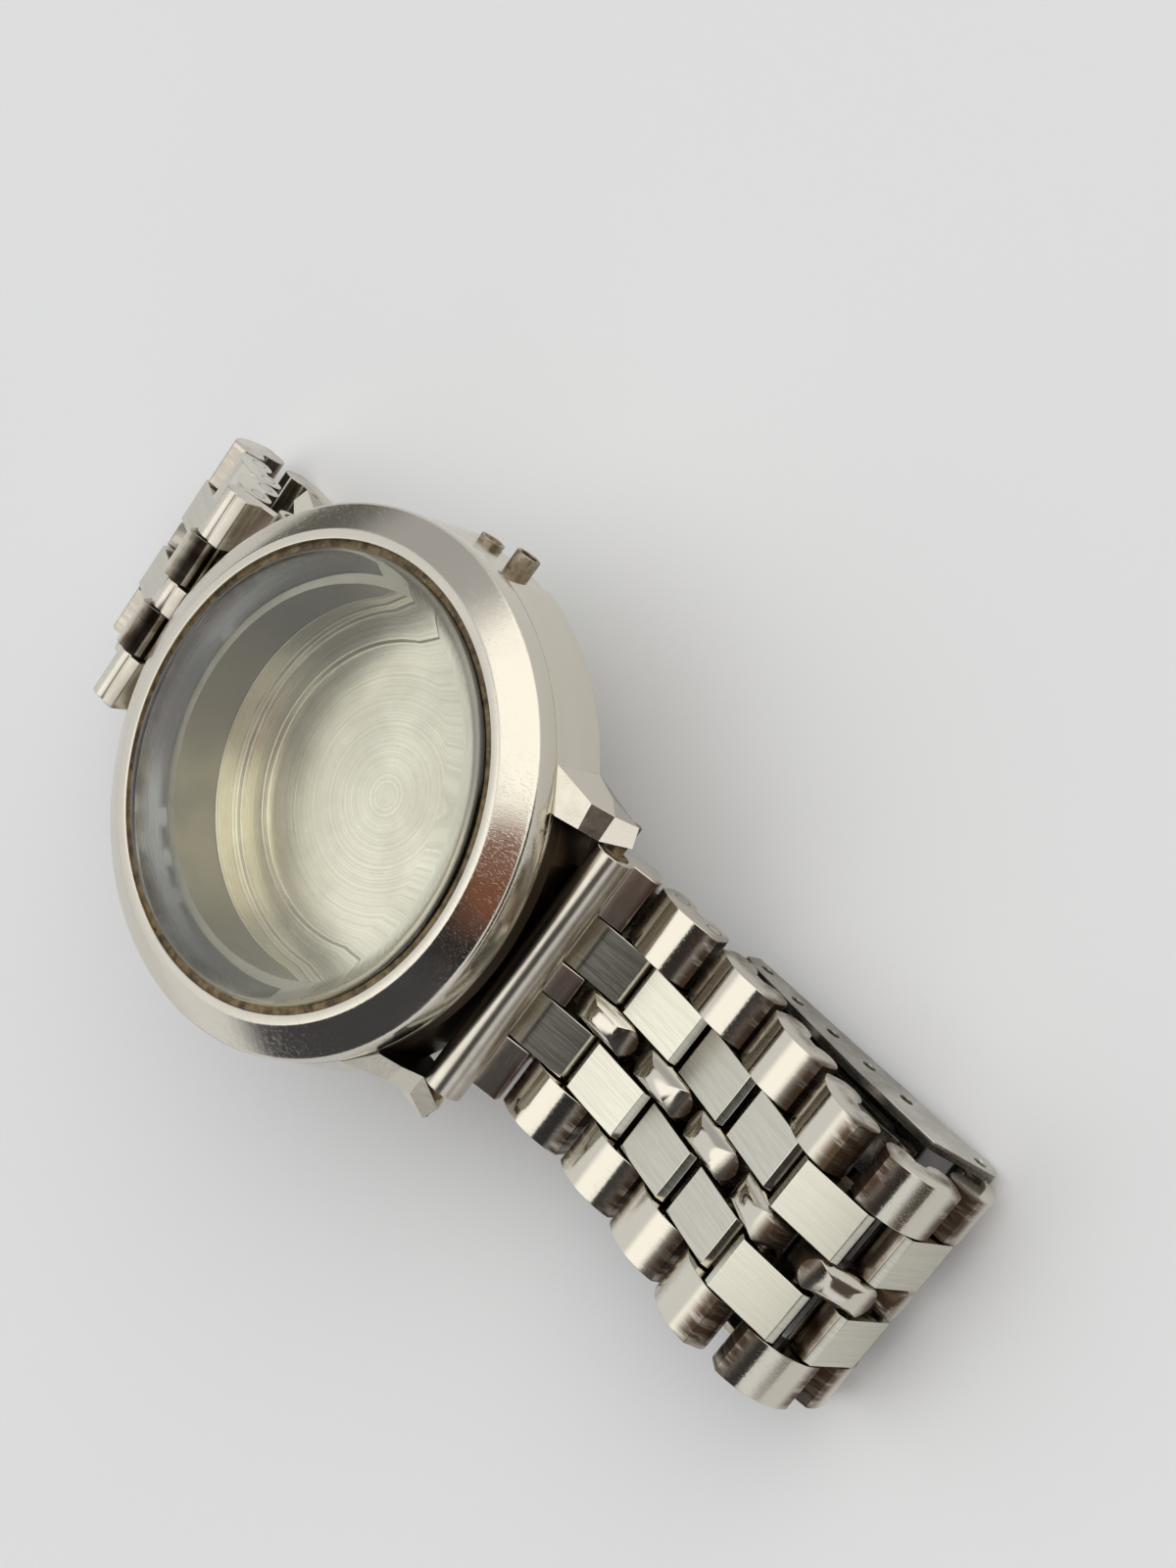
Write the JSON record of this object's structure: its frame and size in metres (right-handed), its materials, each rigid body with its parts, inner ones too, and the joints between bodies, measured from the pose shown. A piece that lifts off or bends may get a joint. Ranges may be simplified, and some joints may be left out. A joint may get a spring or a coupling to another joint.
{
  "type": "empty watch case",
  "caption": "Empty steel wristwatch case with crystal, dished back, two side tubes and a five-row link bracelet with a folding clasp.",
  "frame": {"origin": "centre of the case back's outer face", "axes": "+X to 3 o'clock along the crown tube, +Y to 12 o'clock, +Z out through the crystal"},
  "size_m": [0.0394, 0.0861, 0.0207],
  "materials": {
    "polished_steel": "polished",
    "polished_link_steel": "polished",
    "brushed_steel": "brushed along the bracelet",
    "turned_steel": "fine turned",
    "plain_steel": "satin",
    "crystal_clear": "clear",
    "gasket_dark": "aged",
    "aged_brass": "worn"
  },
  "bodies": {
    "case": {"mid_case": "polished_steel", "bezel": "polished_steel", "crystal": "crystal_clear", "crystal_gasket": "gasket_dark", "rehaut_ring": "turned_steel", "case_back": "turned_steel", "back_gasket": "gasket_dark", "crown_tube": "aged_brass", "second_tube": "aged_brass", "six_spring_bar": "plain_steel", "twelve_spring_bar": "plain_steel"},
    "six_end": {"six_end_piece": "plain_steel"},
    "six_link_01": {"six_link_01": "brushed_steel"},
    "six_link_02": {"six_link_02": "polished_link_steel"},
    "six_link_03": {"six_link_03": "brushed_steel"},
    "six_link_04": {"six_link_04": "polished_link_steel"},
    "six_link_05": {"six_link_05": "brushed_steel"},
    "six_link_06": {"six_link_06": "polished_link_steel"},
    "six_link_07": {"six_link_07": "brushed_steel"},
    "six_link_08": {"six_link_08": "polished_link_steel"},
    "six_link_09": {"six_link_09": "brushed_steel"},
    "six_link_10": {"six_link_10": "polished_link_steel"},
    "six_link_11": {"six_link_11": "brushed_steel"},
    "six_link_12": {"six_link_12": "polished_link_steel", "clasp_spring_bar": "plain_steel"},
    "twelve_end": {"twelve_end_piece": "plain_steel"},
    "twelve_link_01": {"twelve_link_01": "brushed_steel"},
    "twelve_link_02": {"twelve_link_02": "polished_link_steel"},
    "twelve_link_03": {"twelve_link_03": "brushed_steel"},
    "twelve_link_04": {"twelve_link_04": "polished_link_steel"},
    "twelve_link_05": {"twelve_link_05": "brushed_steel"},
    "twelve_link_06": {"twelve_link_06": "polished_link_steel"},
    "twelve_link_07": {"twelve_link_07": "brushed_steel"},
    "twelve_link_08": {"twelve_link_08": "polished_link_steel"},
    "twelve_link_09": {"twelve_link_09": "brushed_steel"},
    "twelve_link_10": {"twelve_link_10": "polished_link_steel"},
    "twelve_link_11": {"twelve_link_11": "brushed_steel"},
    "twelve_link_12": {"twelve_link_12": "polished_link_steel"},
    "twelve_link_13": {"twelve_link_13": "brushed_steel"},
    "twelve_link_14": {"twelve_link_14": "polished_link_steel"},
    "twelve_link_15": {"twelve_link_15": "brushed_steel"},
    "twelve_link_16": {"twelve_link_16": "polished_link_steel"},
    "twelve_link_17": {"twelve_link_17": "brushed_steel"},
    "twelve_link_18": {"twelve_link_18": "polished_link_steel"},
    "inner_blade": {"clasp_inner_blade": "plain_steel", "blade_hinge_pin": "plain_steel"},
    "outer_blade": {"clasp_outer_blade": "plain_steel"},
    "cover": {"clasp_cover": "plain_steel", "cover_hinge_pin": "plain_steel"}
  },
  "joints": [
    {"name": "six_bar_hinge", "type": "hinge", "parent": "case", "child": "six_end", "pos_m": [0, -0.0194, 0.0043], "axis": [-1, 0, 0], "range_deg": [0, 25]},
    {"name": "six_hinge_01", "type": "hinge", "parent": "six_end", "child": "six_link_01", "pos_m": [0, -0.01932, -0.0001], "axis": [-1, 0, 0], "range_deg": [0, 10]},
    {"name": "six_hinge_02", "type": "hinge", "parent": "six_link_01", "child": "six_link_02", "pos_m": [0, -0.02217, -0.00119], "axis": [-1, 0, 0], "range_deg": [0, 2]},
    {"name": "six_hinge_03", "type": "hinge", "parent": "six_link_02", "child": "six_link_03", "pos_m": [0, -0.0252, -0.00151], "axis": [-1, 0, 0], "range_deg": [0, 2]},
    {"name": "six_hinge_04", "type": "hinge", "parent": "six_link_03", "child": "six_link_04", "pos_m": [0, -0.02825, -0.00156], "axis": [-1, 0, 0], "range_deg": [0, 2]},
    {"name": "six_hinge_05", "type": "hinge", "parent": "six_link_04", "child": "six_link_05", "pos_m": [0, -0.0313, -0.00143], "axis": [-1, 0, 0], "range_deg": [0, 2]},
    {"name": "six_hinge_06", "type": "hinge", "parent": "six_link_05", "child": "six_link_06", "pos_m": [0, -0.03428, -0.00077], "axis": [-1, 0, 0], "range_deg": [0, 5]},
    {"name": "six_hinge_07", "type": "hinge", "parent": "six_link_06", "child": "six_link_07", "pos_m": [0, -0.03727, -0.00016], "axis": [-1, 0, 0], "range_deg": [0, 2]},
    {"name": "six_hinge_08", "type": "hinge", "parent": "six_link_07", "child": "six_link_08", "pos_m": [0, -0.04021, 0.00063], "axis": [-1, 0, 0], "range_deg": [0, 2]},
    {"name": "six_hinge_09", "type": "hinge", "parent": "six_link_08", "child": "six_link_09", "pos_m": [0, -0.04293, 0.00201], "axis": [-1, 0, 0], "range_deg": [0, 45]},
    {"name": "six_hinge_10", "type": "hinge", "parent": "six_link_09", "child": "six_link_10", "pos_m": [0, -0.04589, 0.00127], "axis": [-1, 0, 0], "range_deg": [0, 40]},
    {"name": "six_hinge_11", "type": "hinge", "parent": "six_link_10", "child": "six_link_11", "pos_m": [0, -0.04785, -0.00106], "axis": [-1, 0, 0], "range_deg": [0, 39]},
    {"name": "six_hinge_12", "type": "hinge", "parent": "six_link_11", "child": "six_link_12", "pos_m": [0, -0.04812, -0.0041], "axis": [-1, 0, 0], "range_deg": [0, 34]},
    {"name": "twelve_bar_hinge", "type": "hinge", "parent": "case", "child": "twelve_end", "pos_m": [0, 0.0194, 0.0043], "axis": [1, 0, 0], "range_deg": [0, 10]},
    {"name": "twelve_hinge_01", "type": "hinge", "parent": "twelve_end", "child": "twelve_link_01", "pos_m": [0, 0.02282, 0.00707], "axis": [1, 0, 0], "range_deg": [0, 90]},
    {"name": "twelve_hinge_02", "type": "hinge", "parent": "twelve_link_01", "child": "twelve_link_02", "pos_m": [0, 0.02411, 0.0043], "axis": [1, 0, 0], "range_deg": [0, 2]},
    {"name": "twelve_hinge_03", "type": "hinge", "parent": "twelve_link_02", "child": "twelve_link_03", "pos_m": [0, 0.02611, 0.002], "axis": [1, 0, 0], "range_deg": [0, 2]},
    {"name": "twelve_hinge_04", "type": "hinge", "parent": "twelve_link_03", "child": "twelve_link_04", "pos_m": [0, 0.02834, -0.00008], "axis": [1, 0, 0], "range_deg": [0, 2]},
    {"name": "twelve_hinge_05", "type": "hinge", "parent": "twelve_link_04", "child": "twelve_link_05", "pos_m": [0, 0.03117, -0.00122], "axis": [1, 0, 0], "range_deg": [0, 8]},
    {"name": "twelve_hinge_06", "type": "hinge", "parent": "twelve_link_05", "child": "twelve_link_06", "pos_m": [0, 0.03391, -0.00256], "axis": [1, 0, 0], "range_deg": [0, 52]},
    {"name": "twelve_hinge_07", "type": "hinge", "parent": "twelve_link_06", "child": "twelve_link_07", "pos_m": [0, 0.03475, -0.00549], "axis": [1, 0, 0], "range_deg": [0, 90]},
    {"name": "twelve_hinge_08", "type": "hinge", "parent": "twelve_link_07", "child": "twelve_link_08", "pos_m": [0, 0.03188, -0.00653], "axis": [1, 0, 0], "range_deg": [0, 24]},
    {"name": "twelve_hinge_09", "type": "hinge", "parent": "twelve_link_08", "child": "twelve_link_09", "pos_m": [0, 0.02883, -0.00653], "axis": [1, 0, 0], "range_deg": [0, 4]},
    {"name": "twelve_hinge_10", "type": "hinge", "parent": "twelve_link_09", "child": "twelve_link_10", "pos_m": [0, 0.02578, -0.00653], "axis": [1, 0, 0], "range_deg": [0, 4]},
    {"name": "twelve_hinge_11", "type": "hinge", "parent": "twelve_link_10", "child": "twelve_link_11", "pos_m": [0, 0.02273, -0.00653], "axis": [1, 0, 0], "range_deg": [0, 4]},
    {"name": "twelve_hinge_12", "type": "hinge", "parent": "twelve_link_11", "child": "twelve_link_12", "pos_m": [0, 0.01968, -0.00653], "axis": [1, 0, 0], "range_deg": [0, 4]},
    {"name": "twelve_hinge_13", "type": "hinge", "parent": "twelve_link_12", "child": "twelve_link_13", "pos_m": [0, 0.01663, -0.00653], "axis": [1, 0, 0], "range_deg": [0, 4]},
    {"name": "twelve_hinge_14", "type": "hinge", "parent": "twelve_link_13", "child": "twelve_link_14", "pos_m": [0, 0.01358, -0.00653], "axis": [1, 0, 0], "range_deg": [0, 4]},
    {"name": "twelve_hinge_15", "type": "hinge", "parent": "twelve_link_14", "child": "twelve_link_15", "pos_m": [0, 0.01053, -0.00653], "axis": [1, 0, 0], "range_deg": [0, 4]},
    {"name": "twelve_hinge_16", "type": "hinge", "parent": "twelve_link_15", "child": "twelve_link_16", "pos_m": [0, 0.00748, -0.00653], "axis": [1, 0, 0], "range_deg": [0, 4]},
    {"name": "twelve_hinge_17", "type": "hinge", "parent": "twelve_link_16", "child": "twelve_link_17", "pos_m": [0, 0.00443, -0.00653], "axis": [1, 0, 0], "range_deg": [0, 14]},
    {"name": "twelve_hinge_18", "type": "hinge", "parent": "twelve_link_17", "child": "twelve_link_18", "pos_m": [0, 0.00143, -0.006], "axis": [1, 0, 0], "range_deg": [0, 14]},
    {"name": "blade_end_hinge", "type": "hinge", "parent": "twelve_link_18", "child": "inner_blade", "pos_m": [0, -0.00144, -0.00496], "axis": [1, 0, 0], "range_deg": [0, 30]},
    {"name": "blade_hinge", "type": "hinge", "parent": "inner_blade", "child": "outer_blade", "pos_m": [0, -0.04329, -0.00501], "axis": [-1, 0, 0], "range_deg": [0, 20]},
    {"name": "cover_hinge", "type": "hinge", "parent": "outer_blade", "child": "cover", "pos_m": [0, -0.02799, -0.00551], "axis": [1, 0, 0], "range_deg": [0, 150]}
  ]
}
